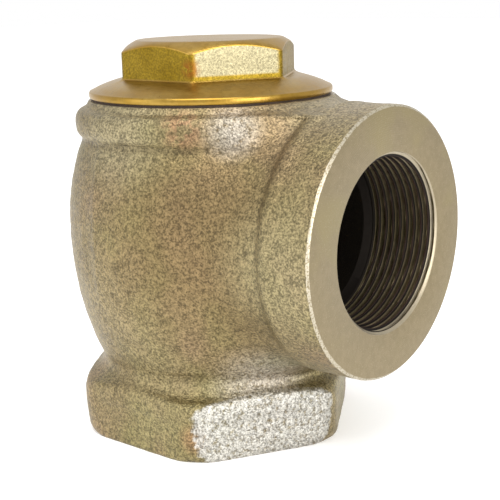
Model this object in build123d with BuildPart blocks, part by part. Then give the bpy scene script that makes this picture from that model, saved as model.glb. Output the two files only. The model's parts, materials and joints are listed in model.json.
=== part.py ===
from build123d import *
import os

os.makedirs("parts", exist_ok=True)

# Pressure relief valve: threaded inlet below, threaded outlet at the side, closed hexagon cap.
# Millimetres. Origin: centre of the inlet face. +Z runs up the inlet axis, +X out of the outlet.

# Pipe thread, 1-1/2 inch taper pipe size, stated at its crest diameter
PIPE_R = 22.27
PIPE_MOUTH_R = 23.75
THREAD_LENGTH = 20.0
THREAD_PITCH = 2.209
THREAD_DEPTH = 1.5
THREAD_CREST = 0.45
THREAD_FLANK = 0.78
THREAD_GROOVES = 8

# Hexagon base
BASE_APOTHEM = 36.3
BASE_CORNER_R = 6.0
BASE_LEDGE_Z = 16.8
BASE_LEDGE_R = 35.8
BASE_TOP_Z = 20.7
BASE_CORNER_REACH = 40.8

# Bulb of the casting
WAIST_R = 33.9
BULB_Z = 57.5
BULB_OUTLINE = [
    (32.0, 4.0),
    (32.6, 12.0),
    (33.9, 20.7),
    (37.25, 30.0),
    (39.87, 40.0),
    (41.25, 49.5),
    (41.6, 57.5),
    (41.3, 64.0),
    (40.44, 70.0),
    (38.9, 76.3),
    (36.7, 82.9),
    (35.0, 89.5),
    (34.2, 96.0),
    (33.9, 106.0),
    (33.8, 116.0),
]
GROOVE_R = 36.68
GROOVE_Z = 82.9
BEAD_R = 38.4
NECK_TOP_R = 34.3
NECK_TOP_Z = 94.4

# Outlet
OUTLET_X = 59.5
OUTLET_Z = 58.8
BOSS_R = 35.7
BOSS_X = 44.0
NECK_R = 34.5
BLEND_R = 9.0
PASSAGE_R = 20.5

# Bridge wall, chamber and neck bore
THROAT_R = 20.5
BRIDGE_Z = 34.0
BRIDGE_HOLE_R = 17.5
CHAMBER_R = 36.0
CEILING_Z = 80.0
LEDGE_Z = 84.5
LEDGE_R = 25.0
NECK_BORE_R = 27.2

# Seat and disc stack
GASKET_TOP_Z = 34.8
SEAT_Z = 39.5
SEAT_BORE_R = 14.0
DISC_TOP_Z = 42.5
HOLDER_TOP_Z = 46.5
STUD_R = 3.45
SPINDLE_R = 4.0
SPINDLE_FOOT_R = 5.0
HUB_R = 8.0
HUB_TOP_Z = 57.0
BALL_R = 2.5
BALL_Z = 51.5
CLIP_Z = 54.6

# Set spring
SPRING_FOOT_Z = 49.5
SPRING_TOP_Z = 79.5
SPRING_R = 14.6
WIRE_R = 1.8
SPRING_TURNS = 6.3
SPIGOT_R = 12.2

# Adjuster
SCREW_R = 8.95
SCREW_HOLE_R = 9.0
SCREW_FOOT_Z = 83.5
SCREW_TOP_Z = 103.5
CARRIER_TOP_Z = 88.0
CARRIER_HUB_Z = 94.0
NUT_Z = 95.0
NUT_APOTHEM = 13.5
NUT_HEIGHT = 6.0
BUSH_R = 6.0

# Cap
SEAL_TOP_Z = 95.0
CAP_FLANGE_R = 34.2
CAP_FLANGE_TOP_Z = 97.0
CAP_SPIGOT_R = 27.1
CAP_SPIGOT_Z = 88.4
CAP_APOTHEM = 22.2
CAP_TOP_Z = 110.4
CAP_FLAT_R = 20.5
CAP_CORNER_Z = 107.6
CAP_ROOF_Z = 106.5


def save(piece, name):
    """Names a finished piece and writes it to its own file."""
    piece.label = name
    export_step(piece, f"parts/{name}.step")


def turned(points):
    """A solid turned about Z from a closed outline of radius and height pairs."""
    with BuildPart() as piece:
        with BuildSketch(Plane.XZ):
            with BuildLine():
                Polyline(*points, close=True)
            make_face()
        revolve(axis=Axis.Z)
    return piece.part


def thread_bore():
    """Outline of a tapped bore as radius and depth pairs: countersink, then thread grooves and crests."""
    depth = PIPE_MOUTH_R - PIPE_R
    outline = [(PIPE_MOUTH_R, 0), (PIPE_R, depth)]
    for _ in range(THREAD_GROOVES):
        outline += [
            (PIPE_R, depth + THREAD_CREST),
            (PIPE_R + THREAD_DEPTH, depth + THREAD_CREST + THREAD_FLANK),
            (PIPE_R + THREAD_DEPTH, depth + THREAD_PITCH - THREAD_FLANK),
            (PIPE_R, depth + THREAD_PITCH),
        ]
        depth += THREAD_PITCH
    return outline + [(PIPE_R, THREAD_LENGTH)]


def body():
    """The casting: base, bulb, outlet boss, bridge wall and neck."""
    with BuildPart() as piece:
        # Bulb, run on above the neck so that the outlet blend is cut level with the neck
        with BuildSketch(Plane.XZ):
            with BuildLine():
                Line((0, 4), BULB_OUTLINE[0])
                Spline(*BULB_OUTLINE)
                Polyline(BULB_OUTLINE[-1], (0, 116), (0, 4))
            make_face()
        revolve(axis=Axis.Z)
        # Outlet neck, blended into the bulb
        with BuildSketch(Plane(origin=(0, 0, OUTLET_Z), x_dir=(0, 0, 1), z_dir=(1, 0, 0))):
            Circle(NECK_R)
        extrude(amount=BOSS_X + 1)
        fillet(piece.edges().filter_by(lambda e: abs((e @ 0.5).Y) > 30), BLEND_R)
        split(bisect_by=Plane.XY.offset(NECK_TOP_Z), keep=Keep.BOTTOM)
        # Bead round the neck, over a shallow groove
        with BuildSketch(Plane.XZ):
            with BuildLine():
                Line((30, GROOVE_Z), (GROOVE_R, GROOVE_Z))
                ThreePointArc((GROOVE_R, GROOVE_Z), (37.4, 84.8), (38.2, 86.3))
                ThreePointArc((38.2, 86.3), (BEAD_R, 88.3), (37.9, 90.7))
                ThreePointArc((37.9, 90.7), (37.35, 91.7), (36.5, 92.4))
                ThreePointArc((36.5, 92.4), (35.0, 93.2), (NECK_TOP_R, NECK_TOP_Z))
                Polyline((NECK_TOP_R, NECK_TOP_Z), (30, NECK_TOP_Z), (30, GROOVE_Z))
            make_face()
        revolve(axis=Axis.Z)
        # Outlet boss
        with BuildSketch(Plane.YZ.offset(BOSS_X)):
            with Locations((0, OUTLET_Z)):
                Circle(BOSS_R)
        extrude(amount=OUTLET_X - BOSS_X)
        chamfer(piece.edges().group_by(Axis.X)[-1], 1.1)
        # Hexagon base
        add(hexagon_base())
        # Inlet thread, throat, bridge hole, chamber and neck bore
        with BuildSketch(Plane.XZ):
            with BuildLine():
                Polyline(
                    (0, 0),
                    *thread_bore(),
                    (THROAT_R, THREAD_LENGTH + 1.0),
                    (THROAT_R, 24.0),
                    (BRIDGE_HOLE_R, 27.0),
                    (BRIDGE_HOLE_R, BRIDGE_Z),
                    (29.0, BRIDGE_Z),
                )
                ThreePointArc((29.0, BRIDGE_Z), (32.2, 35.5), (33.6, 38.6))
                ThreePointArc((33.6, 38.6), (CHAMBER_R, BULB_Z), (33.4, 75.0))
                ThreePointArc((33.4, 75.0), (31.8, 78.6), (28.6, CEILING_Z))
                Polyline(
                    (28.6, CEILING_Z),
                    (LEDGE_R, CEILING_Z),
                    (LEDGE_R, LEDGE_Z),
                    (NECK_BORE_R, LEDGE_Z),
                    (NECK_BORE_R, NECK_TOP_Z - 0.9),
                    (NECK_BORE_R + 0.9, NECK_TOP_Z),
                    (0, NECK_TOP_Z),
                    (0, 0),
                )
            make_face()
        revolve(axis=Axis.Z, mode=Mode.SUBTRACT)
        # Outlet passage and thread
        with BuildSketch(Plane.YZ.offset(20)):
            with Locations((0, OUTLET_Z)):
                Circle(PASSAGE_R)
        extrude(amount=OUTLET_X - 20, mode=Mode.SUBTRACT)
        inner_end = OUTLET_X - THREAD_LENGTH - PIPE_R + PASSAGE_R
        with BuildSketch(Plane.XY.offset(OUTLET_Z)):
            with BuildLine():
                Polyline(
                    (OUTLET_X, 0),
                    *[(OUTLET_X - depth, radius) for radius, depth in thread_bore()],
                    (inner_end, PASSAGE_R),
                    (inner_end, 0),
                    close=True,
                )
            make_face()
        revolve(axis=Axis((0, 0, OUTLET_Z), (1, 0, 0)), mode=Mode.SUBTRACT)
    return piece.part


def hexagon_base():
    """Rounded hexagon with its corners turned off, and the flare from its ledge up to the waist of the bulb."""
    with BuildPart(mode=Mode.PRIVATE) as piece:
        with BuildSketch():
            RegularPolygon(BASE_APOTHEM, 6, major_radius=False)
            fillet(vertices(), BASE_CORNER_R)
        extrude(amount=BASE_TOP_Z)
        with BuildSketch(Plane.XZ):
            with BuildLine():
                Polyline(
                    (0, BASE_TOP_Z),
                    (0, 0),
                    (BASE_CORNER_REACH - 1.8, 0),
                    (BASE_CORNER_REACH - 0.8, 2.0),
                    (BASE_CORNER_REACH, 9.0),
                    (BASE_CORNER_REACH, BASE_LEDGE_Z - 3.1),
                    (BASE_CORNER_REACH - 1.9, BASE_LEDGE_Z),
                    (BASE_LEDGE_R, BASE_LEDGE_Z),
                )
                ThreePointArc((BASE_LEDGE_R, BASE_LEDGE_Z), (WAIST_R + 0.55, BASE_LEDGE_Z + 1.6), (WAIST_R, BASE_TOP_Z))
                Line((WAIST_R, BASE_TOP_Z), (0, BASE_TOP_Z))
            make_face()
        revolve(axis=Axis.Z, mode=Mode.INTERSECT)
    return piece.part


def seat_ring():
    """Nozzle with a raised seat lip and four spanner notches in its flange."""
    with BuildPart() as piece:
        with BuildSketch(Plane.XZ):
            with BuildLine():
                Polyline(
                    (SEAT_BORE_R + 1.5, 27.0),
                    (BRIDGE_HOLE_R - 0.05, 27.0),
                    (BRIDGE_HOLE_R - 0.05, GASKET_TOP_Z),
                    (21.5, GASKET_TOP_Z),
                    (21.5, 37.5),
                    (21.0, 38.0),
                    (16.4, 38.0),
                    (15.6, SEAT_Z),
                    (SEAT_BORE_R, SEAT_Z),
                    (SEAT_BORE_R, 28.5),
                    close=True,
                )
            make_face()
        revolve(axis=Axis.Z)
        with BuildSketch(Plane.XY.offset(36.4)):
            with PolarLocations(20.6, 4, start_angle=45):
                Rectangle(3.4, 4.0)
        extrude(amount=4, mode=Mode.SUBTRACT)
    return piece.part


def seat_gasket():
    """Flat fibre ring under the nozzle flange."""
    with BuildPart() as piece:
        with BuildSketch(Plane.XY.offset(BRIDGE_Z)):
            Circle(21.2)
            Circle(BRIDGE_HOLE_R + 0.3, mode=Mode.SUBTRACT)
        extrude(amount=GASKET_TOP_Z - BRIDGE_Z)
    return piece.part


def wing_guide():
    """Three wings on a hub, a clamping flange and a stud."""
    with BuildPart() as piece:
        with BuildSketch(Plane.XY.offset(28.5)):
            with PolarLocations(0, 3):
                with Locations((7.5, 0)):
                    Rectangle(15.0, 2.4)
        extrude(amount=8.8)
        with BuildSketch(Plane.XZ):
            with BuildLine():
                Polyline(
                    (0, 27.0),
                    (12.2, 27.0),
                    (SEAT_BORE_R - 0.06, 29.6),
                    (SEAT_BORE_R - 0.06, 36.4),
                    (12.8, 37.3),
                    (0, 37.3),
                    close=True,
                )
            make_face()
        revolve(axis=Axis.Z, mode=Mode.INTERSECT)
        with BuildSketch(Plane.XZ):
            with BuildLine():
                Polyline(
                    (0, 28.0),
                    (2.4, 28.0),
                    (4.5, 30.2),
                    (4.5, 35.6),
                    (8.5, 37.3),
                    (8.5, 38.3),
                    (STUD_R, 38.3),
                    (STUD_R, 46.1),
                    (STUD_R - 0.5, 46.6),
                    (0, 46.6),
                    close=True,
                )
            make_face()
        revolve(axis=Axis.Z)
    return piece.part


def disc_washer():
    """Clamp washer under the soft disc."""
    with BuildPart() as piece:
        with BuildSketch(Plane.XY.offset(38.3)):
            Circle(11.0)
            Circle(STUD_R + 0.3, mode=Mode.SUBTRACT)
        extrude(amount=SEAT_Z - 38.3)
        chamfer(piece.edges().group_by(Axis.Z)[0].sort_by(SortBy.RADIUS)[-1], 0.4)
    return piece.part


def seat_disc():
    """Soft disc that closes on the seat lip."""
    with BuildPart() as piece:
        with BuildSketch(Plane.XY.offset(SEAT_Z)):
            Circle(17.0)
            Circle(STUD_R + 0.3, mode=Mode.SUBTRACT)
        extrude(amount=DISC_TOP_Z - SEAT_Z)
    return piece.part


def disc_holder():
    """Holder with a rim round the soft disc and a pocketed hub for the spindle."""
    return turned(
        [
            (STUD_R + 0.05, DISC_TOP_Z),
            (17.3, DISC_TOP_Z),
            (17.3, 40.4),
            (18.6, 40.4),
            (20.0, 41.6),
            (20.0, 44.8),
            (18.6, HOLDER_TOP_Z),
            (HUB_R, HOLDER_TOP_Z),
            (HUB_R, HUB_TOP_Z - 0.6),
            (HUB_R - 0.6, HUB_TOP_Z),
            (SPINDLE_FOOT_R + 0.35, HUB_TOP_Z),
            (SPINDLE_FOOT_R + 0.06, HUB_TOP_Z - 0.4),
            (SPINDLE_FOOT_R + 0.06, CLIP_Z + 1.1),
            (SPINDLE_FOOT_R + 1.1, CLIP_Z + 1.1),
            (SPINDLE_FOOT_R + 1.1, CLIP_Z - 0.1),
            (SPINDLE_FOOT_R + 0.06, CLIP_Z - 0.1),
            (SPINDLE_FOOT_R + 0.06, BALL_Z - BALL_R),
            (0, BALL_Z - BALL_R),
            (0, 47.2),
            (STUD_R + 0.05, 47.2),
        ]
    )


def spindle_ball():
    """Hardened ball between hub and spindle."""
    with BuildPart() as piece:
        with Locations((0, 0, BALL_Z)):
            Sphere(BALL_R)
    return piece.part


def spindle():
    """Stem with a grooved foot that cups the ball."""
    with BuildPart() as piece:
        with BuildSketch(Plane.XZ):
            with BuildLine():
                Polyline(
                    (0, BALL_Z + 0.7),
                    (SPINDLE_FOOT_R - 0.5, BALL_Z + 0.7),
                    (SPINDLE_FOOT_R, BALL_Z + 1.2),
                    (SPINDLE_FOOT_R, CLIP_Z - 0.1),
                    (SPINDLE_FOOT_R - 0.9, CLIP_Z - 0.1),
                    (SPINDLE_FOOT_R - 0.9, CLIP_Z + 1.1),
                    (SPINDLE_FOOT_R, CLIP_Z + 1.1),
                    (SPINDLE_FOOT_R, 60.0),
                    (SPINDLE_R, 61.5),
                    (SPINDLE_R, 98.2),
                    (SPINDLE_R - 0.8, 99.0),
                    (0, 99.0),
                    close=True,
                )
            make_face()
        revolve(axis=Axis.Z)
        with Locations((0, 0, BALL_Z)):
            Sphere(BALL_R + 0.02, mode=Mode.SUBTRACT)
    return piece.part


def spindle_clip():
    """Split snap ring in the grooves of hub and spindle foot."""
    with BuildPart() as piece:
        with BuildSketch(Plane.XY.offset(CLIP_Z)):
            Circle(SPINDLE_FOOT_R + 0.8)
            Circle(SPINDLE_FOOT_R - 0.6, mode=Mode.SUBTRACT)
            with Locations((6, 0)):
                Rectangle(6, 1.6, mode=Mode.SUBTRACT)
        extrude(amount=1.0)
    return piece.part


def lower_spring_seat():
    """Flanged ring on the holder with a spigot inside the spring."""
    return turned(
        [
            (HUB_R + 0.1, HOLDER_TOP_Z),
            (17.4, HOLDER_TOP_Z),
            (18.0, HOLDER_TOP_Z + 0.6),
            (18.0, SPRING_FOOT_Z),
            (SPIGOT_R, SPRING_FOOT_Z),
            (SPIGOT_R, 52.2),
            (SPIGOT_R - 0.8, 53.0),
            (HUB_R + 0.1, 53.0),
        ]
    )


def spring():
    """Round wire set spring with ground ends."""
    rise = SPRING_TOP_Z - SPRING_FOOT_Z
    pitch = rise / SPRING_TURNS
    with BuildPart() as piece:
        with BuildLine():
            coil = Helix(pitch, rise, SPRING_R, center=(0, 0, SPRING_FOOT_Z))
        with BuildSketch(Plane(origin=coil @ 0, z_dir=coil % 0)):
            Circle(WIRE_R)
        sweep(is_frenet=True)
        with Locations((0, 0, SPRING_FOOT_Z - 5)):
            Cylinder(20, 10, mode=Mode.SUBTRACT)
        with Locations((0, 0, SPRING_TOP_Z + 5)):
            Cylinder(20, 10, mode=Mode.SUBTRACT)
    return piece.part


def upper_spring_seat():
    """Flanged plate over the spring, bored clear of the spindle."""
    return turned(
        [
            (SPINDLE_R + 0.6, 75.5),
            (SPIGOT_R - 0.8, 75.5),
            (SPIGOT_R, 76.3),
            (SPIGOT_R, SPRING_TOP_Z),
            (18.0, SPRING_TOP_Z),
            (18.0, 81.4),
            (17.0, 82.4),
            (SPINDLE_R + 0.6, 82.4),
        ]
    )


def thrust_washer():
    """Bronze washer between spring seat and adjusting screw."""
    with BuildPart() as piece:
        with BuildSketch(Plane.XY.offset(82.4)):
            Circle(8.6)
            Circle(SPINDLE_R + 0.6, mode=Mode.SUBTRACT)
        extrude(amount=SCREW_FOOT_Z - 82.4)
    return piece.part


def spring_carrier():
    """Threaded plate in the neck with a tapped hub and four spanner holes."""
    with BuildPart() as piece:
        with BuildSketch(Plane.XZ):
            with BuildLine():
                Polyline(
                    (SCREW_HOLE_R, LEDGE_Z),
                    (NECK_BORE_R - 0.75, LEDGE_Z),
                    (NECK_BORE_R - 0.05, LEDGE_Z + 0.7),
                    (NECK_BORE_R - 0.05, CARRIER_TOP_Z),
                    (17.0, CARRIER_TOP_Z),
                    (15.6, CARRIER_TOP_Z + 1.4),
                    (15.6, CARRIER_HUB_Z),
                    (SCREW_HOLE_R, CARRIER_HUB_Z),
                    close=True,
                )
            make_face()
        revolve(axis=Axis.Z)
        with Locations(Plane.XY.offset(CARRIER_TOP_Z)):
            with PolarLocations(21.6, 4, start_angle=45):
                Hole(2.2)
    return piece.part


def adjusting_screw():
    """Hollow screw with a bush seat below and a driver slot across the top."""
    with BuildPart() as piece:
        with BuildSketch(Plane.XZ):
            with BuildLine():
                Polyline(
                    (BUSH_R + 0.04, SCREW_FOOT_Z),
                    (SCREW_R - 0.7, SCREW_FOOT_Z),
                    (SCREW_R, SCREW_FOOT_Z + 0.7),
                    (SCREW_R, SCREW_TOP_Z - 0.9),
                    (SCREW_R - 0.9, SCREW_TOP_Z),
                    (SPINDLE_R + 0.6, SCREW_TOP_Z),
                    (SPINDLE_R + 0.6, 98.0),
                    (BUSH_R + 0.04, 98.0),
                    close=True,
                )
            make_face()
        revolve(axis=Axis.Z)
        with Locations((0, 0, SCREW_TOP_Z)):
            Box(3.0, 20.0, 5.0, mode=Mode.SUBTRACT)
    return piece.part


def guide_bush():
    """Plain bearing for the spindle."""
    return turned(
        [
            (SPINDLE_R + 0.05, 86.0),
            (BUSH_R, 86.0),
            (BUSH_R, 98.0),
            (SPINDLE_R + 0.05, 98.0),
        ]
    )


def lock_washer():
    """Flat washer under the lock nut."""
    with BuildPart() as piece:
        with BuildSketch(Plane.XY.offset(CARRIER_HUB_Z)):
            Circle(15.2)
            Circle(SCREW_R + 0.3, mode=Mode.SUBTRACT)
        extrude(amount=NUT_Z - CARRIER_HUB_Z)
    return piece.part


def lock_nut():
    """Hexagon nut with turned corners on both faces."""
    corner = NUT_APOTHEM * 2 / 3**0.5
    with BuildPart() as piece:
        with BuildSketch(Plane.XY.offset(NUT_Z)):
            RegularPolygon(NUT_APOTHEM, 6, major_radius=False)
        extrude(amount=NUT_HEIGHT)
        with BuildSketch(Plane.XZ):
            with BuildLine():
                Polyline(
                    (0, NUT_Z),
                    (NUT_APOTHEM - 0.3, NUT_Z),
                    (corner + 0.3, NUT_Z + 1.4),
                    (corner + 0.3, NUT_Z + NUT_HEIGHT - 1.4),
                    (NUT_APOTHEM - 0.3, NUT_Z + NUT_HEIGHT),
                    (0, NUT_Z + NUT_HEIGHT),
                    close=True,
                )
            make_face()
        revolve(axis=Axis.Z, mode=Mode.INTERSECT)
        with BuildSketch(Plane.XY.offset(NUT_Z)):
            Circle(SCREW_R + 0.05)
        extrude(amount=NUT_HEIGHT, mode=Mode.SUBTRACT)
    return piece.part


def cap_seal():
    """Flat ring between the neck and the cap flange."""
    with BuildPart() as piece:
        with BuildSketch(Plane.XY.offset(NECK_TOP_Z)):
            Circle(33.6)
            Circle(28.3, mode=Mode.SUBTRACT)
        extrude(amount=SEAL_TOP_Z - NECK_TOP_Z)
    return piece.part


def cap():
    """Closed cap: threaded spigot, domed flange and hexagon head."""
    with BuildPart() as piece:
        # Hexagon head with turned corners
        with BuildSketch(Plane.XY.offset(98.0)):
            RegularPolygon(CAP_APOTHEM, 6, major_radius=False)
            fillet(vertices(), 1.6)
        extrude(amount=CAP_TOP_Z - 98.0)
        with BuildSketch(Plane.XZ):
            with BuildLine():
                Polyline(
                    (0, 98.0),
                    (27.0, 98.0),
                    (27.0, 106.6),
                    (CAP_FLAT_R, CAP_TOP_Z),
                    (0, CAP_TOP_Z),
                    close=True,
                )
            make_face()
        revolve(axis=Axis.Z, mode=Mode.INTERSECT)
        # Flange, dome and spigot
        with BuildSketch(Plane.XZ):
            with BuildLine():
                Polyline(
                    (0, CAP_SPIGOT_Z),
                    (CAP_SPIGOT_R - 0.9, CAP_SPIGOT_Z),
                    (CAP_SPIGOT_R, CAP_SPIGOT_Z + 0.9),
                    (CAP_SPIGOT_R, SEAL_TOP_Z),
                    (CAP_FLANGE_R, SEAL_TOP_Z),
                    (CAP_FLANGE_R, CAP_FLANGE_TOP_Z - 0.5),
                    (CAP_FLANGE_R - 0.5, CAP_FLANGE_TOP_Z),
                )
                ThreePointArc((CAP_FLANGE_R - 0.5, CAP_FLANGE_TOP_Z), (30.0, 98.5), (25.6, 99.7))
                Polyline((25.6, 99.7), (22.0, 100.2), (0, 100.2), (0, CAP_SPIGOT_Z))
            make_face()
        revolve(axis=Axis.Z)
        # Hollow over the adjuster
        with BuildSketch(Plane.XZ):
            with BuildLine():
                Polyline(
                    (0, CAP_SPIGOT_Z),
                    (22.8, CAP_SPIGOT_Z),
                    (22.8, 95.5),
                    (17.4, 100.5),
                    (17.4, CAP_ROOF_Z - 2.0),
                    (15.4, CAP_ROOF_Z),
                    (0, CAP_ROOF_Z),
                    close=True,
                )
            make_face()
        revolve(axis=Axis.Z, mode=Mode.SUBTRACT)
    return piece.part


PIECES = [
    body,
    seat_ring,
    seat_gasket,
    wing_guide,
    disc_washer,
    seat_disc,
    disc_holder,
    spindle_ball,
    spindle,
    spindle_clip,
    lower_spring_seat,
    spring,
    upper_spring_seat,
    thrust_washer,
    spring_carrier,
    adjusting_screw,
    guide_bush,
    lock_washer,
    lock_nut,
    cap_seal,
    cap,
]

for make in PIECES:
    save(make(), make.__name__)
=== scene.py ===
"""Pressure relief valve: cast bronze body, brass cap and valve gear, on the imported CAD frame.
Lengths in the shape code are millimetres and become metres when a mesh is made.
+Z is up and +X points out of the outlet."""
import json
import math

import bpy
import numpy as np
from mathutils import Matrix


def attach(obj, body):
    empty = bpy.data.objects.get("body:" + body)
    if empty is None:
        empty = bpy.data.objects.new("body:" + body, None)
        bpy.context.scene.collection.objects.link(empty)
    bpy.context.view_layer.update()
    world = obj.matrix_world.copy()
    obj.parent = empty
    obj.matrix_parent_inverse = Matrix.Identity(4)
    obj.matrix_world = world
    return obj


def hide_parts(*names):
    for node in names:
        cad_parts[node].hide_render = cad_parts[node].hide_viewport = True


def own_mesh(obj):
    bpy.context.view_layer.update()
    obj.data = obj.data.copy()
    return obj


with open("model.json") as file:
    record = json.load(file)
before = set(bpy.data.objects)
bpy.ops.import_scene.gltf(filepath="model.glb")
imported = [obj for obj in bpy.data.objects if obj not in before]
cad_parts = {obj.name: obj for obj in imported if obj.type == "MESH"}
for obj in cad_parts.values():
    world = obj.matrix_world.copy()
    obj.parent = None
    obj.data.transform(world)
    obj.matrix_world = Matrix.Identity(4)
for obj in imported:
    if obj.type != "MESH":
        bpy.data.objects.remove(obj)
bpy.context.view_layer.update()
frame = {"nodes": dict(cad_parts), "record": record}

import openvdb
from mathutils import Matrix, Vector, noise

MM = 0.001
TURN = 2 * math.pi
OUTLET_Z = 58.8
OUTLET_X = 59.5
NECK_TOP_Z = 94.4
GROOVE_Z = 83.9

# 1-1/2 inch taper pipe thread at the inlet and the outlet
PIPE_PITCH = 2.209
PIPE_CREST_R = 22.27
PIPE_TOOTH = 1.5
PIPE_TAPER = 0.025
PIPE_DEPTH = 20.0

# Thread between neck and cap
CAP_PITCH = 2.0

# Material slots of the faces that the cutters leave on the casting. Slot 0 is the cast skin.
MACHINED, INSIDE = 1, 2

# Material slots of the cap: granular hexagon flats, and turned surfaces
FLAT, TURNED = 0, 1


# ---------------------------------------------------------------- camera
def make_camera():
    cam = bpy.data.cameras.new("camera")
    cam.sensor_width = 36
    cam.lens = 80.582
    cam.clip_start = 0.01
    obj = bpy.data.objects.new("camera", cam)
    right = Vector((0.77322, 0.63361, -0.02595))
    up = Vector((-0.12650, 0.19421, 0.97277))
    back = Vector((0.62139, -0.74888, 0.23032))
    place = Matrix((right, up, back)).transposed().to_4x4()
    place.translation = Vector((210.444, -238.355, 124.412)) * MM
    obj.matrix_world = place
    bpy.context.scene.collection.objects.link(obj)
    bpy.context.scene.camera = obj


# ---------------------------------------------------------------- materials
class Shader:
    """Small helper that wires one Principled material."""

    def __init__(self, name):
        self.mat = bpy.data.materials.new(name)
        self.mat.use_nodes = True
        self.tree = self.mat.node_tree
        self.bsdf = next(n for n in self.tree.nodes if n.type == "BSDF_PRINCIPLED")
        self.place = self.node("ShaderNodeTexCoord").outputs["Object"]

    def node(self, kind, **inputs):
        n = self.tree.nodes.new(kind)
        for key, value in inputs.items():
            self.put(n.inputs[key.replace("_", " ")], value)
        return n

    def put(self, socket, value):
        if isinstance(value, bpy.types.NodeSocket):
            self.tree.links.new(value, socket)
        else:
            socket.default_value = value

    def set(self, **values):
        for key, value in values.items():
            self.put(self.bsdf.inputs[key.replace("_", " ")], value)

    def math(self, op, a, b=0.0):
        n = self.tree.nodes.new("ShaderNodeMath")
        n.operation = op
        for socket, value in zip(n.inputs, (a, b)):
            self.put(socket, value)
        return n.outputs[0]

    def times(self, a, b):
        return self.math("MULTIPLY", a, b)

    def plus(self, a, b):
        return self.math("ADD", a, b)

    def length(self, a, b):
        """Length of the vector with these two parts."""
        return self.math("SQRT", self.plus(self.times(a, a), self.times(b, b)))

    def noise(self, per_mm, detail, rough, shift=(0, 0, 0)):
        """Noise with about this many grains in a millimetre."""
        m = self.node("ShaderNodeMapping", Vector=self.place, Location=shift)
        n = self.node("ShaderNodeTexNoise", Vector=m.outputs[0], Scale=per_mm / MM)
        n.inputs["Detail"].default_value = detail
        n.inputs["Roughness"].default_value = rough
        return n.outputs[0]

    def ramp(self, value, low, high):
        """0 at low and 1 at high, smooth between them. Low may be the larger."""
        n = self.node("ShaderNodeMapRange", Value=value)
        n.interpolation_type = "SMOOTHSTEP"
        n.inputs["From Min"].default_value = low
        n.inputs["From Max"].default_value = high
        return n.outputs[0]

    def mix(self, fac, a, b, mode="MIX"):
        n = self.tree.nodes.new("ShaderNodeMix")
        n.data_type = "RGBA"
        n.blend_type = mode
        self.put(n.inputs[0], fac)
        for socket, value in ((n.inputs[6], a), (n.inputs[7], b)):
            self.put(socket, (*value, 1.0) if isinstance(value, tuple) else value)
        return n.outputs[2]

    def bump(self, height, mm, strength):
        return self.node("ShaderNodeBump", Height=height, Strength=strength, Distance=mm * MM).outputs[0]

    def axis_parts(self):
        return self.node("ShaderNodeSeparateXYZ", Vector=self.place).outputs

    def tool_marks(self, along, feed_mm):
        """Fine turned grooves, one for each feed of the tool."""
        return self.math("SINE", self.times(along, TURN / (feed_mm * MM)))

    def near(self, point, inner, outer):
        """1 close to a point of the object, 0 beyond the outer distance, in mm."""
        n = self.tree.nodes.new("ShaderNodeVectorMath")
        n.operation = "DISTANCE"
        self.put(n.inputs[0], self.place)
        n.inputs[1].default_value = tuple(v * MM for v in point)
        return self.ramp(n.outputs["Value"], outer * MM, inner * MM)

    def shade(self, col, point, inner, outer, strength, tint):
        """A soft patch of tint about a point of the object."""
        return self.mix(self.times(self.near(point, inner, outer), strength), col, tint)


def facing_minus_30(s, x, y):
    """Distance from the valve axis towards -30 degrees, where one flat of each hexagon faces."""
    return s.math("SUBTRACT", s.times(x, 0.866), s.times(y, 0.5))


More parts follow.
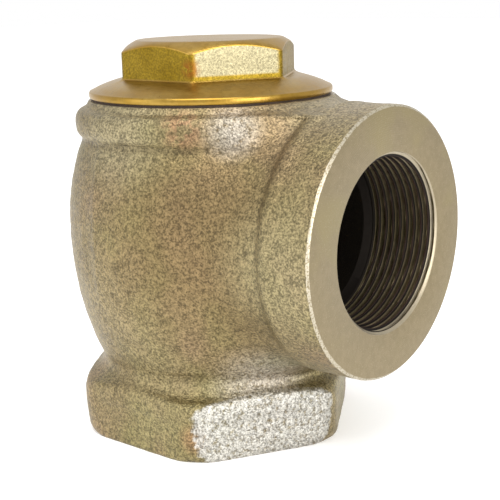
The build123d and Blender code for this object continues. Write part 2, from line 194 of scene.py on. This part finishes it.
def cast_bronze(name="cast_bronze", inside=False):
    """Blasted sand casting: fine grain over olive, brown and pink patches, with painted highlights and
    painted shade. Inside, it is painted shade, almost black.
    """
    s = Shader(name)
    x, y, z = s.axis_parts()
    grain = s.noise(1.9, 2, 0.6)
    clump = s.noise(0.8, 2, 0.55, (0.2, 0.2, 0.7))
    mottle = s.noise(0.26, 3, 0.6, (0.3, 0.1, 0.2))
    patches = s.noise(0.04, 3, 0.6)
    green = s.ramp(s.noise(0.035, 2, 0.5, (0.11, 0.37, 0.2)), 0.45, 0.65)
    pink = s.ramp(s.noise(0.045, 2, 0.5, (0.5, 0.12, 0.9)), 0.48, 0.70)
    col = s.mix(s.ramp(patches, 0.35, 0.7), (0.220, 0.171, 0.085), (0.262, 0.209, 0.110))
    col = s.mix(s.times(green, 0.35), col, (0.235, 0.225, 0.085))
    col = s.mix(s.times(pink, 0.35), col, (0.315, 0.205, 0.130))
    col = s.mix(s.times(s.ramp(mottle, 0.58, 0.38), 0.22), col, (0.19, 0.145, 0.07))
    # brown middle of the bulb, darkened there as painted shade beside the boss; bead and boss painted lighter
    # as painted highlights; red stains on the bead and the base corner
    brown_and_shade = s.times(s.near((26, -31, 62), 10, 42), s.plus(0.45, s.times(patches, 0.4)))
    col = s.mix(brown_and_shade, col, (0.160, 0.104, 0.045))
    col = s.shade(col, (0, -38, 88), 4, 20, 0.35, (0.340, 0.310, 0.200))
    col = s.shade(col, (50, 0, 94.5), 8, 26, 0.6, (0.360, 0.300, 0.190))
    col = s.shade(col, (50, -34, 56), 6, 24, 0.5, (0.300, 0.262, 0.145))
    red = s.times(s.near((18.8, -33, 89.5), 1, 8), s.ramp(mottle, 0.42, 0.56))
    col = s.mix(s.times(red, 0.45), col, (0.33, 0.15, 0.09))
    col = s.shade(col, (20.8, -35.3, 7), 1, 6, 0.6, (0.32, 0.18, 0.095))
    # painted shade in the groove under the bead
    off_groove = s.math("ABSOLUTE", s.math("SUBTRACT", z, GROOVE_Z * MM))
    groove_shade = s.times(s.ramp(off_groove, 1.6 * MM, 0.2 * MM), s.ramp(x, 28 * MM, 18 * MM))
    col = s.mix(s.times(groove_shade, 0.5), col, (0.115, 0.088, 0.045))
    # painted highlight: the flat of the base that faces -30 degrees, the ledge over it and a spot on the bead
    # are painted paler, where the key lamp shines
    ragged = s.plus(facing_minus_30(s, x, y), s.times(clump, 1.6 * MM))
    face = s.times(s.ramp(ragged, 35.7 * MM, 36.4 * MM), s.ramp(z, 24 * MM, 15 * MM))
    above = s.times(s.near((33, -19, 18), 4, 19), 0.55)
    bead = s.times(s.near((29, -25, 88.6), 1, 10), 0.55)
    painted_highlight = s.math("MAXIMUM", s.math("MAXIMUM", face, above), bead)
    speckled_highlight = s.times(painted_highlight, s.ramp(clump, 0.16, 0.52))
    col = s.mix(s.times(speckled_highlight, 0.85), col, (0.44, 0.43, 0.40))
    # blasted grain, dark in its pits
    height = s.plus(grain, s.times(clump, 0.5))
    gain = s.plus(0.48, s.times(s.ramp(height, 0.52, 1.0), 1.08))
    col = s.mix(1.0, col, gain, "MULTIPLY")
    rough = s.plus(0.33, s.times(mottle, 0.16))
    # inside the casting the colour is painted shade, almost black
    if inside:
        col = s.mix(0.98, col, (0.010, 0.008, 0.006))
        rough = s.plus(0.7, s.times(mottle, 0.2))
    s.set(Base_Color=col, Metallic=0.88, Roughness=rough, Normal=s.bump(height, 0.24, 1.0))
    return s.mat


def machined_bronze():
    """Outlet and inlet faces, with painted highlights on the chamfer, the countersink and the thread crests,
    and painted shade darkening the threads.
    """
    s = Shader("machined_bronze")
    x, y, z = s.axis_parts()
    zc = s.math("SUBTRACT", z, OUTLET_Z * MM)
    radius = s.length(y, zc)
    rings = s.tool_marks(radius, 0.55)
    mottle = s.noise(0.5, 3, 0.6)
    fine = s.noise(2.2, 3, 0.65)
    col = s.mix(s.ramp(mottle, 0.35, 0.68), (0.208, 0.165, 0.092), (0.236, 0.188, 0.109))
    col = s.mix(s.ramp(s.noise(0.06, 2, 0.5, (0.4, 0.8, 0.3)), 0.5, 0.7), col, (0.236, 0.191, 0.097))
    col = s.mix(s.times(s.ramp(fine, 0.56, 0.72), 0.45), col, (0.37, 0.31, 0.20))
    # painted highlights: a bright chamfer round the outlet face, and a bright countersink
    edge = s.ramp(s.plus(radius, s.times(mottle, 0.4 * MM)), 35.15 * MM, 35.4 * MM)
    edge = s.times(edge, s.ramp(fine, 0.36, 0.52))
    col = s.mix(s.times(edge, 0.60), col, (0.62, 0.57, 0.46))
    sink = s.times(s.ramp(radius, 23.85 * MM, 23.65 * MM), s.ramp(x, 55 * MM, 57.5 * MM))
    col = s.mix(s.times(sink, 0.4), col, (0.56, 0.50, 0.39))
    # threads: painted shade darkens the flanks and the bores deeper in, and a painted highlight lightens the
    # crests brown
    depth = s.math("SUBTRACT", OUTLET_X * MM, x)
    crest_line = s.plus(radius, s.times(depth, PIPE_TAPER))
    deep = s.ramp(crest_line, 23.15 * MM, 23.0 * MM)
    crest = s.times(s.ramp(crest_line, 22.60 * MM, 22.54 * MM), s.ramp(depth, 19 * MM, 17.5 * MM))
    below = s.times(s.ramp(s.length(x, y), 23.3 * MM, 22.9 * MM), s.ramp(z, 22 * MM, 21 * MM))
    hollow_shade = s.math("MAXIMUM", s.times(deep, s.ramp(x, 30 * MM, 32 * MM)), below)
    col = s.mix(s.times(hollow_shade, 0.985), col, (0.008, 0.006, 0.005))
    col = s.mix(s.times(s.times(crest, hollow_shade), 0.40), col, (0.15, 0.088, 0.070))
    height = s.plus(fine, s.times(rings, 0.10))
    height = s.times(height, s.math("SUBTRACT", 1.0, s.times(hollow_shade, 0.85)))
    rough = s.plus(s.plus(0.30, s.times(mottle, 0.16)), s.times(hollow_shade, 0.3))
    s.set(Base_Color=col, Metallic=0.88, Roughness=rough, Normal=s.bump(height, 0.07, 0.8))
    return s.mat


def cap_brass(name, granular):
    """Satin yellow brass. The hexagon flats are granular and the rest is turned."""
    s = Shader(name)
    x, y, z = s.axis_parts()
    radius = s.length(x, y)
    patches = s.noise(0.09, 3, 0.6, (0.2, 0.6, 0.1))
    mottle = s.noise(0.6, 3, 0.62)
    fine = s.noise(1.9, 3, 0.6)
    col = s.mix(s.ramp(patches, 0.35, 0.68), (0.335, 0.195, 0.030), (0.385, 0.245, 0.055))
    col = s.mix(s.times(s.ramp(mottle, 0.58, 0.36), 0.4), col, (0.25, 0.150, 0.018))
    if granular:
        col = s.mix(s.ramp(patches, 0.3, 0.7), (0.185, 0.118, 0.008), (0.240, 0.160, 0.016))
        # painted highlight: the flat facing -30 degrees is painted paler, with a ragged border
        across = facing_minus_30(s, x, y)
        along = s.plus(s.times(x, 0.5), s.times(y, 0.866))
        reach = s.plus(s.math("ABSOLUTE", along), s.times(mottle, 1.2 * MM))
        bright = s.times(s.ramp(across, 21.7 * MM, 22.0 * MM), s.ramp(reach, 12.9 * MM, 11.6 * MM))
        bright = s.times(bright, s.ramp(z, 101.2 * MM, 101.9 * MM))
        col = s.mix(s.times(bright, 0.90), col, (0.300, 0.268, 0.165))
        gain = s.plus(0.68, s.times(s.ramp(fine, 0.30, 0.72), 0.62))
        col = s.mix(1.0, col, gain, "MULTIPLY")
        corner = s.times(s.near((12.2, -22.0, 103.5), 0.8, 3.6), s.ramp(mottle, 0.35, 0.55))
        col = s.mix(s.times(corner, 0.85), col, (0.22, 0.080, 0.012))
        height = s.plus(fine, s.times(s.noise(0.5, 2, 0.5), 0.8))
        s.set(Normal=s.bump(height, 0.14, 0.75))
        rough = s.plus(0.32, s.times(mottle, 0.18))
    else:
        rings = s.tool_marks(radius, 0.42)
        scratch = s.noise(1.2, 3, 0.6)
        height = s.plus(s.times(rings, 0.25), scratch)
        s.set(Normal=s.bump(height, 0.05, 0.7))
        rough = s.plus(0.22, s.times(mottle, 0.18))
    s.set(Base_Color=col, Metallic=0.95, Roughness=rough)
    return s.mat


def turned_metal(name, dark, light, rough=0.25):
    """Fine turned finish about the valve axis, with handling marks."""
    s = Shader(name)
    x, y, z = s.axis_parts()
    radius = s.length(x, y)
    rings = s.tool_marks(s.plus(radius, z), 0.35)
    mottle = s.noise(0.4, 3, 0.6)
    marks = s.noise(1.8, 3, 0.6, (0.3, 0.3, 0.3))
    col = s.mix(s.ramp(mottle, 0.35, 0.68), dark, light)
    height = s.plus(s.times(rings, 0.3), marks)
    s.set(
        Base_Color=col,
        Metallic=1.0,
        Roughness=s.plus(rough, s.times(mottle, 0.18)),
        Normal=s.bump(height, 0.03, 0.7),
    )
    return s.mat


def soft_material(name, dark, light, rough, grain_per_mm, depth_mm):
    """Rubber, fibre or polymer with a fine moulded or pressed grain."""
    s = Shader(name)
    mottle = s.noise(0.5, 3, 0.6)
    grain = s.noise(grain_per_mm, 3, 0.6)
    s.set(
        Base_Color=s.mix(s.ramp(mottle, 0.3, 0.7), dark, light),
        Roughness=s.plus(rough, s.times(grain, 0.15)),
        Normal=s.bump(grain, depth_mm, 0.7),
    )
    return s.mat


# ---------------------------------------------------------------- mesh helpers
def new_object(name, points_mm, faces, slots, face_slot=None):
    mesh = bpy.data.meshes.new(name)
    mesh.from_pydata((np.asarray(points_mm) * MM).tolist(), [], faces)
    for m in slots:
        mesh.materials.append(m)
    if face_slot is not None:
        mesh.polygons.foreach_set("material_index", np.asarray(face_slot, np.int32))
    mesh.polygons.foreach_set("use_smooth", [True] * len(mesh.polygons))
    mesh.update()
    obj = bpy.data.objects.new(name, mesh)
    bpy.context.scene.collection.objects.link(obj)
    return obj


def swept_rings(name, rings, slots, ring_slot):
    """A closed skin over rings of points, each a full turn. The first and the last shrink to a point."""
    count = len(rings[0])
    points = [rings[0].mean(axis=0)]
    for ring in rings[1:-1]:
        points.extend(ring)
    points.append(rings[-1].mean(axis=0))
    faces, which = [], []
    inner = len(rings) - 2
    for j in range(count):
        k = (j + 1) % count
        faces.append((0, 1 + j, 1 + k))
        which.append(ring_slot[0])
        for i in range(inner - 1):
            a = 1 + i * count
            faces.append((a + j, a + count + j, a + count + k, a + k))
            which.append(ring_slot[i + 1])
        a = 1 + (inner - 1) * count
        faces.append((a + j, len(points) - 1, a + k))
        which.append(ring_slot[inner])
    return new_object(name, np.array(points), faces, slots, which)


def circle_ring(radius, angle):
    """Two coordinates of a ring of points, from one radius or one for each angle."""
    r = np.broadcast_to(radius, angle.shape)
    return r * np.cos(angle), r * np.sin(angle)


def cut(target, cutter):
    """Take the cutter's volume away from the target and drop the cutter."""
    mod = target.modifiers.new("cut", "BOOLEAN")
    mod.operation = "DIFFERENCE"
    mod.solver = "MANIFOLD"
    mod.object = cutter
    mod.material_mode = "TRANSFER"
    depsgraph = bpy.context.evaluated_depsgraph_get()
    mesh = bpy.data.meshes.new_from_object(target.evaluated_get(depsgraph), depsgraph=depsgraph)
    target.modifiers.clear()
    old = target.data
    target.data = mesh
    bpy.data.meshes.remove(old)
    bpy.data.objects.remove(cutter)


def thread_radius(angle, along, pitch, crest, depth):
    """Radius of a female thread: flat crests at the crest radius and V grooves of the given depth."""
    phase = (along / pitch - angle / TURN) % 1.0
    height = 1 - np.abs(phase - 0.5) * 2
    return crest + depth * np.clip((height - 0.17) / 0.72, 0, 1)


def pipe_thread(ring, angle, mouth):
    """Taper pipe thread from its mouth inwards, with a countersink at the start and a run-out at the end."""
    for depth in np.arange(0.14, PIPE_DEPTH, 0.14):
        crest = PIPE_CREST_R + 0.25 - depth * PIPE_TAPER
        r = thread_radius(angle, depth, PIPE_PITCH, crest, PIPE_TOOTH)
        run_out = np.clip((depth - 18.6) / 1.2, 0, 1)
        ring(np.maximum(r * (1 - run_out) + crest * run_out, mouth - depth), depth, MACHINED)


def smooth_min(a, b, k):
    """The smaller of two distances, blended where they differ by less than k."""
    h = np.clip(0.5 + 0.5 * (b - a) / k, 0, 1)
    return b * (1 - h) + a * h - k * h * (1 - h)


def smooth_max(a, b, k):
    return -smooth_min(-a, -b, k)


# ---------------------------------------------------------------- casting
# Outside of the bulb, from base flare to neck: height and radius
BULB = np.array(
    [
        (0.0, 38.0), (14.0, 38.0), (16.0, 37.3), (16.7, 36.7), (17.5, 35.8), (18.4, 34.9), (19.4, 34.3),
        (20.6, 34.0), (22.2, 34.3), (24.0, 35.1), (27.6, 36.5), (31.4, 37.75), (35.1, 38.85), (40.6, 40.0),
        (47.8, 41.05), (52.5, 41.45), (57.5, 41.6), (62.5, 41.5), (66.0, 41.25), (69.6, 40.8), (73.0, 40.15),
        (76.3, 39.3), (79.7, 38.3), (81.3, 37.7), (82.4, 37.2), (83.3, 36.85), (84.1, 36.7), (84.6, 36.9),
        (85.1, 37.4), (85.8, 37.95), (86.8, 38.3), (88.2, 38.4), (89.7, 38.3), (90.8, 37.95), (91.6, 37.4),
        (92.1, 36.8), (92.45, 36.0), (92.7, 35.35), (93.1, 35.0), (93.8, 34.7), (94.6, 34.4), (98.0, 34.3),
    ]
)


def casting_skin(materials):
    """Outside of the casting from blended distances: bulb, outlet neck, boss and hexagon base."""
    step = 0.5
    low = np.array([-44.0, -44.0, -3.0])
    size = np.array([107.0, 88.0, 101.0])
    count = np.ceil(size / step).astype(int)
    axes = [np.float32(low[i]) + np.arange(count[i], dtype=np.float32) * np.float32(step) for i in range(3)]
    x, y, z = (a.reshape([-1 if i == k else 1 for i in range(3)]) for k, a in enumerate(axes))
    fine = np.arange(-4, 100, 0.1)
    outline = np.interp(fine, BULB[:, 0], BULB[:, 1])
    outline = np.convolve(np.pad(outline, 4, mode="edge"), np.ones(9) / 9, mode="valid")
    soft = np.interp(axes[2], fine, outline)
    slope = np.interp(axes[2], fine, np.gradient(outline, 0.1))
    lean = (1 / np.sqrt(1 + slope**2)).astype(np.float32).reshape(1, 1, -1)
    turn = np.sqrt(x**2 + y**2)
    bulb = (turn - soft.astype(np.float32).reshape(1, 1, -1)) * lean
    bulb = np.maximum(bulb, z - 96)
    bulb = np.maximum(bulb, 12 - z)
    # outlet neck and boss
    around = np.sqrt(y**2 + (z - np.float32(OUTLET_Z)) ** 2)
    neck = smooth_max(around - np.float32(34.5), x - np.float32(46.0), 0.5)
    neck = np.maximum(neck, -x)
    boss = smooth_max(around - np.float32(35.7), np.float32(44.3) - x, 2.2)
    boss = np.maximum(boss, x - np.float32(61.5))
    # hexagon with its corners turned off, up to a flat ledge
    apothem = np.float32(36.3) - np.clip((11 - z) / 11, 0, 1) * np.float32(0.3)
    corner = np.float32(5.0)
    qx, qy = np.abs(x), np.abs(y)
    fold = np.minimum(-0.8660254 * qx + 0.5 * qy, 0)
    hx, hy = qx + 2 * 0.8660254 * fold, qy - fold
    flat = (apothem - corner) * 0.57735
    hx = hx - np.clip(hx, -flat, flat)
    hy = hy - (apothem - corner)
    prism = np.sqrt(hx**2 + hy**2) * np.sign(hy) - corner
    reach = np.interp(axes[2], (0, 2, 9, 13.7, 16.8), (39.0, 40.0, 40.8, 40.8, 38.9))
    base = smooth_max(prism, (turn - reach.astype(np.float32).reshape(1, 1, -1)) * np.float32(0.9), 1.2)
    base = smooth_max(base, z - np.float32(16.5), 1.2)
    base = smooth_max(base, -z - 0.35, 1.2)
    bulb = smooth_max(bulb, prism - np.clip(z - 17, 0, 8) * np.float32(3), 1.0)
    # all together, and the flat top of the neck
    shape = smooth_min(bulb, neck, 11.0)
    shape = smooth_max(shape, z - np.float32(94.75), 1.0)
    shape = smooth_min(shape, base, 1.6)
    shape = smooth_min(shape, boss, 2.6)
    grid = openvdb.FloatGrid()
    grid.background = 3.0
    grid.copyFromArray(np.ascontiguousarray(np.clip(shape, -3, 3), dtype=np.float32))
    points, quads = grid.convertToQuads(isovalue=0.0)
    points = np.asarray(points, float) * step + low
    quads = np.asarray(quads)[:, ::-1].tolist()
    body = new_object("body_casting", points, quads, materials)
    # uneven sand surface, along the normals
    mesh = body.data
    normals = np.empty(len(mesh.vertices) * 3)
    mesh.vertex_normals.foreach_get("vector", normals)
    normals = normals.reshape(-1, 3)
    lift = np.array(
        [
            0.11 * noise.noise(Vector(p) / 9.0)
            + 0.07 * noise.noise(Vector(p) / 3.2 + Vector((7, 3, 1)))
            + 0.05 * noise.noise(Vector(p) / 1.3 + Vector((2, 9, 4)))
            for p in points
        ]
    )
    mesh.vertices.foreach_set("co", ((points + normals * lift[:, None]) * MM).ravel())
    mesh.update()
    return body


def bore_cutter(materials):
    """Inlet thread, throat, bridge hole, chamber and threaded neck bore, with the flat faces at both ends."""
    n = 288
    angle = np.arange(n) / n * TURN
    rings, slots = [], []

    def ring(r, z, slot):
        rings.append(np.stack([*circle_ring(r, angle), np.full(n, z)], axis=1))
        slots.append(slot)

    mouth = 23.75
    for r, z in ((0.0, -4.0), (60.0, -4.0), (60.0, 0.0), (mouth, 0.0)):
        ring(r, z, MACHINED)
    pipe_thread(ring, angle, mouth)
    # throat, hole in the bridge wall, and floor of the chamber
    for r, z in ((20.5, 21.2), (20.5, 24.0), (17.5, 27.0), (17.5, 34.0)):
        ring(r, z, INSIDE)
    for r, z in ((29.0, 34.0), (32.2, 35.5), (33.6, 38.6)):
        ring(r, z, INSIDE)
    # round chamber wall
    for t in np.linspace(0, 1, 9)[1:-1]:
        ring(36.1 - 2.6 * (2 * t - 1) ** 2, 38.6 + 36.4 * t, INSIDE)
    for r, z in ((33.4, 75.0), (31.8, 78.6), (28.6, 80.0), (25.0, 80.0), (25.0, 84.5)):
        ring(r, z, INSIDE)
    # neck thread and its countersink
    mouth = 28.2
    ring(27.2, 84.5, MACHINED)
    for z in np.arange(84.7, NECK_TOP_Z - 0.05, 0.16):
        r = thread_radius(angle, z, CAP_PITCH, 27.25, 0.9)
        ring(np.maximum(r, mouth - (NECK_TOP_Z - z)), z, MACHINED)
    for r, z in ((mouth, NECK_TOP_Z), (35.0, NECK_TOP_Z), (35.6, NECK_TOP_Z + 0.6)):
        ring(r, z, MACHINED)
    for r, z in ((35.6, 102.0), (0.0, 102.0)):
        ring(r, z, MACHINED)
    # swept from the top down, so the skin faces outwards
    return swept_rings("bore_cutter", rings[::-1], materials, slots[-2::-1] + slots[:1])


def outlet_cutter(materials):
    """Outlet thread with its countersink, the machined face and its outer chamfer, and the passage behind."""
    n = 288
    angle = np.arange(n) / n * TURN
    rings, slots = [], []

    def ring(r, depth, slot):
        across, up = circle_ring(r, angle)
        rings.append(np.stack([np.full(n, OUTLET_X - depth), across, OUTLET_Z + up], axis=1))
        slots.append(slot)

    for r, depth in ((0.0, -8.0), (48.0, -8.0), (48.0, 2.4), (37.6, 2.4)):
        ring(r, depth, MACHINED)
    for r, depth in ((35.5, 0.35), (35.1, 0.0), (23.9, 0.0), (23.72, 0.06)):
        ring(r, depth, MACHINED)
    # depth runs against +X, so the angle is turned round to keep the thread right-handed
    pipe_thread(ring, -angle, 23.8)
    for r, depth in ((20.5, 21.8), (20.5, 39.0), (0.0, 39.0)):
        ring(r, depth, INSIDE)
    return swept_rings("outlet_cutter", rings, materials, slots)


def make_body(materials):
    body = casting_skin(materials)
    cut(body, bore_cutter(materials))
    cut(body, outlet_cutter(materials))
    body.data.polygons.foreach_set("use_smooth", [True] * len(body.data.polygons))
    body.data.set_sharp_from_angle(angle=math.radians(28))
    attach(body, "housing")
    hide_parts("body")


# ---------------------------------------------------------------- cap
def hexagon_reach(angle, apothem, corner):
    """Distance from the axis to a hexagon with rounded corners, flats facing 30 and 90 degrees."""
    a = (angle % (math.pi / 3)) - math.pi / 6
    straight = apothem / np.cos(a)
    centre = (apothem - corner) / math.cos(math.pi / 6)
    b = math.pi / 6 - np.abs(a)
    under = np.maximum(corner**2 - (centre * np.sin(b)) ** 2, 0)
    rounded = centre * np.cos(b) + np.sqrt(under)
    tangent = np.arctan2((apothem - corner) * math.tan(math.pi / 6), apothem)
    return np.where(np.abs(a) > tangent, rounded, straight)


def make_cap(flats, turned):
    n = 432
    angle = np.arange(n) / n * TURN
    reach = hexagon_reach(angle, 22.2, 1.5)
    rings, slots = [], []

    def ring(r, z, slot=TURNED):
        rings.append(np.stack([*circle_ring(r, angle), np.broadcast_to(z, angle.shape)], axis=1))
        slots.append(slot)

    # flat top, turned chamfer over the corners, and the flats
    top, crown_r = 110.4, 20.5
    slope = math.tan(math.radians(30))
    edge = top - (reach - crown_r) * slope
    for r in (0.0, 6.0, 12.0, 17.0, 20.1):
        ring(r, top)
    ring(crown_r, top - 0.08)
    ring(20.8, top - 0.2)
    ring(crown_r + (reach - crown_r) * 0.5, top - (reach - crown_r) * 0.5 * slope)
    ring(reach - 0.35, edge + 0.35 * slope)
    ring(reach - 0.08, edge - 0.10)
    ring(reach, edge - 0.38, FLAT)
    for t in (0.25, 0.5, 0.75, 1.0):
        ring(reach, (edge - 0.38) * (1 - t) + 100.9 * t, FLAT)
    # small fillet at the foot of the flats
    ring(reach + 0.12, 100.45)
    ring(reach + 0.42, 100.12)
    # domed flange with a rolled rim
    dome_r = 26.6
    ring((reach + 0.42 + dome_r) * 0.5, 99.9)
    for r, z in ((dome_r, 99.62), (28.2, 99.15), (30.0, 98.55), (31.9, 97.8), (33.2, 97.12), (33.6, 96.98)):
        ring(r, z)
    for r, z in ((33.95, 96.82), (34.15, 96.5), (34.2, 96.1), (34.2, 95.5), (34.05, 95.15), (33.7, 95.0)):
        ring(r, z)
    for r, z in ((29.0, 95.0), (26.6, 95.0)):
        ring(r, z)
    # thread, hollow and recess under the head
    for z in np.arange(94.6, 89.2, -0.16):
        ring(thread_radius(angle, z, CAP_PITCH, 26.15, 0.95), z)
    for r, z in ((26.2, 89.1), (25.6, 88.4), (22.8, 88.4), (22.8, 95.5)):
        ring(r, z)
    for r, z in ((17.4, 100.5), (17.4, 104.5), (15.4, 106.5), (0.0, 106.5)):
        ring(r, z)
    cap = swept_rings("cap_forged", rings, [flats, turned], slots)
    cap.data.set_sharp_from_angle(angle=math.radians(24))
    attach(cap, "closed_cap")
    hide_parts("cap")


def make_spring(material):
    """Set spring of round wire with ground ends."""
    foot, top, lift = 49.5, 79.5, 5.0
    coil_r, wire_r, turns = 14.6, 1.8, 6.3
    sides = 20
    t = np.linspace(0, 1, 420)[:, None, None]
    angle = t * TURN * turns
    lean = math.atan((top - foot) / (turns * TURN * coil_r))
    phi = (np.arange(sides) * TURN / sides)[None, :, None]
    flat = np.zeros_like(angle)
    centre = np.concatenate((coil_r * np.cos(angle), coil_r * np.sin(angle), foot + (top - foot) * t), axis=2)
    out = np.concatenate((np.cos(angle), np.sin(angle), flat), axis=2)
    up = np.concatenate(
        (math.sin(lean) * np.sin(angle), -math.sin(lean) * np.cos(angle), flat + math.cos(lean)), axis=2
    )
    points = centre + wire_r * (np.cos(phi) * out + np.sin(phi) * up)
    # ground ends
    points[..., 2] = np.clip(points[..., 2], foot, top)
    count = len(points)
    faces = [list(range(sides)), [(count - 1) * sides + j for j in reversed(range(sides))]]
    for i in range(count - 1):
        a, b = i * sides, (i + 1) * sides
        faces.extend((a + j, b + j, b + (j + 1) % sides, a + (j + 1) % sides) for j in range(sides))
    spring = new_object("set_spring", points.reshape(-1, 3), faces, [material])
    spring.data.set_sharp_from_angle(angle=math.radians(40))
    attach(spring, "housing")
    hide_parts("spring")
    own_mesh(spring)


# ---------------------------------------------------------------- stage
def make_stage():
    scene = bpy.context.scene
    scene.view_settings.view_transform = "Standard"
    world = bpy.data.worlds.new("studio")
    world.use_nodes = True
    sky = next(n for n in world.node_tree.nodes if n.type == "BACKGROUND")
    sky.inputs[0].default_value = (1.0, 1.0, 1.0, 1.0)
    sky.inputs[1].default_value = 1.0
    scene.world = world
    floor_mat = bpy.data.materials.new("floor")
    floor_mat.use_nodes = True
    bsdf = next(n for n in floor_mat.node_tree.nodes if n.type == "BSDF_PRINCIPLED")
    bsdf.inputs["Base Color"].default_value = (0.93, 0.93, 0.93, 1)
    bsdf.inputs["Roughness"].default_value = 0.9
    bsdf.inputs["Specular IOR Level"].default_value = 0.1
    bsdf.inputs["Emission Color"].default_value = (1, 1, 1, 1)
    bsdf.inputs["Emission Strength"].default_value = 0.25
    mesh = bpy.data.meshes.new("floor")
    reach, level = 3.0, -0.0001
    corners = [(-reach, -reach, level), (reach, -reach, level), (reach, reach, level), (-reach, reach, level)]
    mesh.from_pydata(corners, [], [(0, 1, 2, 3)])
    mesh.materials.append(floor_mat)
    floor = bpy.data.objects.new("floor", mesh)
    scene.collection.objects.link(floor)


def area_light(name, azimuth, elevation, distance, size, power):
    """Soft white panel that shines on the middle of the valve."""
    lamp = bpy.data.lights.new(name, "AREA")
    lamp.shape = "RECTANGLE"
    lamp.size, lamp.size_y = size
    lamp.energy = power
    obj = bpy.data.objects.new(name, lamp)
    a, e = math.radians(azimuth), math.radians(elevation)
    away = Vector((math.cos(a) * math.cos(e), math.sin(a) * math.cos(e), math.sin(e)))
    obj.location = Vector((0.01, 0, 0.05)) + away * distance
    obj.rotation_euler = away.to_track_quat("Z", "Y").to_euler()
    bpy.context.scene.collection.objects.link(obj)


make_camera()
make_stage()
area_light("key", -14, 10, 0.6, (0.30, 0.5), 2.6)
area_light("fill", -118, 18, 0.6, (0.25, 0.45), 0.55)
area_light("top", -60, 66, 0.7, (0.5, 0.5), 3.0)

make_body([cast_bronze(), machined_bronze(), cast_bronze("cast_inside", inside=True)])
make_cap(cap_brass("cap_flats", True), cap_brass("cap_turned", False))

steel = turned_metal("stainless", (0.42, 0.42, 0.43), (0.56, 0.56, 0.57))
make_spring(turned_metal("spring_wire", (0.22, 0.22, 0.23), (0.34, 0.34, 0.35), rough=0.32))
brass = turned_metal("turned_brass", (0.55, 0.40, 0.15), (0.68, 0.52, 0.25))
gunmetal = turned_metal("turned_bronze", (0.45, 0.30, 0.15), (0.58, 0.41, 0.23))
rubber = soft_material("disc_rubber", (0.018, 0.018, 0.02), (0.035, 0.035, 0.038), 0.55, 1.2, 0.05)
fibre = soft_material("fibre", (0.030, 0.018, 0.012), (0.060, 0.036, 0.022), 0.75, 2.2, 0.08)
polymer = soft_material("white_polymer", (0.62, 0.61, 0.57), (0.75, 0.74, 0.70), 0.35, 1.5, 0.03)
FINISH = {
    "stainless": steel,
    "machined_brass": brass,
    "machined_bronze": gunmetal,
    "disc_rubber": rubber,
    "fibre": fibre,
    "white_polymer": polymer,
}
# the carried-over pieces keep their shape and get their finish by the record's slot
for part in frame["record"]["subparts"]:
    finish = FINISH.get(part["material_slot"])
    if finish:
        mesh = frame["nodes"][part["node"]].data
        mesh.materials.clear()
        mesh.materials.append(finish)
        mesh.polygons.foreach_set("material_index", [0] * len(mesh.polygons))
